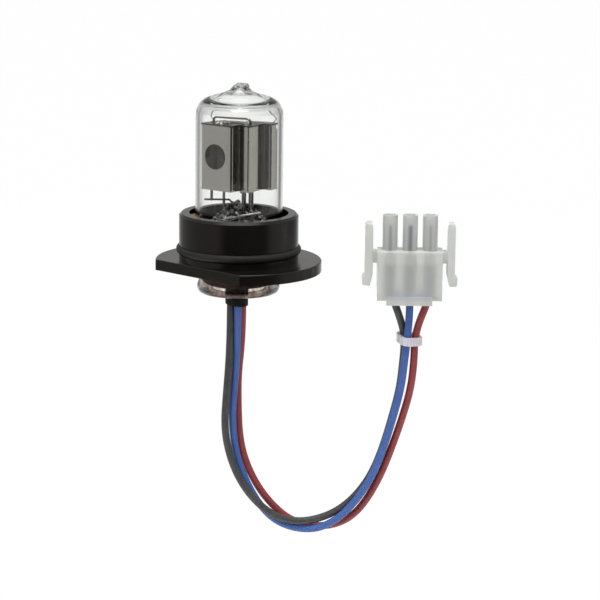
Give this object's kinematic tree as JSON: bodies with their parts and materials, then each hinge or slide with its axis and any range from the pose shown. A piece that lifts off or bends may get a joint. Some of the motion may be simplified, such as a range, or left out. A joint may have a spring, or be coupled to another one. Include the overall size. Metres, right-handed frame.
{
  "type": "deuterium lamp",
  "caption": "Deuterium lamp: clear glass bulb round a folded metal electrode housing, in a black flanged base with an O-ring, with a looped wire lead ending in a white latching connector.",
  "frame": {"origin": "on the lamp axis, in the upper face of the flange, the face that seats against the lamp holder", "axes": "+Z along the lamp axis towards the bulb's tip; +X towards the connector; the light leaves through the window to the front left, between -X and -Y"},
  "size_m": [0.096, 0.0528, 0.1473],
  "materials": {
    "black_anodised": "satin black anodised",
    "seal_rubber": "smooth black rubber",
    "bulb_glass": "clear blown glass",
    "cement": "rough amber brown cement",
    "potting": "cast brown resin",
    "sleeve": "shrunk black sleeve",
    "nickel": "bright nickel sheet",
    "housing_ceramic": "fired white alumina",
    "molybdenum": "grey molybdenum",
    "cathode_wire": "oxide coated tungsten",
    "lead_metal": "dull lead rod",
    "spring_wire": "bare nickel wire",
    "strand": "bright twisted wire",
    "black_insulation": "glossy insulation",
    "blue_insulation": "glossy insulation",
    "red_insulation": "glossy insulation",
    "tie_nylon": "translucent nylon",
    "plug_nylon": "milky natural nylon",
    "contact_metal": "tin plated"
  },
  "bodies": {
    "root": {"base_ring": "black_anodised", "o_ring": "seal_rubber", "bulb": "bulb_glass", "base_cement": "cement", "stem_potting": "potting", "shrink_sleeve": "sleeve", "window_shield": "nickel", "side_cover": "nickel", "rear_cover": "nickel", "top_plate": "nickel", "bottom_plate": "nickel", "cathode_baffle": "nickel", "divider_wall": "housing_ceramic", "aperture_disc": "molybdenum", "anode_plate": "molybdenum", "cathode_coil": "cathode_wire", "lead_bushings": "housing_ceramic", "anode_lead": "lead_metal", "lower_cathode_lead": "lead_metal", "upper_cathode_lead": "lead_metal", "front_post": "lead_metal", "rear_post": "lead_metal", "spare_pin": "lead_metal", "short_pin": "lead_metal", "brace_wire": "spring_wire", "top_hoop": "spring_wire", "left_spring": "spring_wire", "right_spring": "spring_wire", "twisted_strand": "strand", "black_wire": "black_insulation", "blue_wire": "blue_insulation", "red_wire": "red_insulation", "cable_tie": "tie_nylon", "plug_housing": "plug_nylon", "left_contact": "contact_metal", "middle_contact": "contact_metal", "right_contact": "contact_metal"}
  },
  "joints": []
}
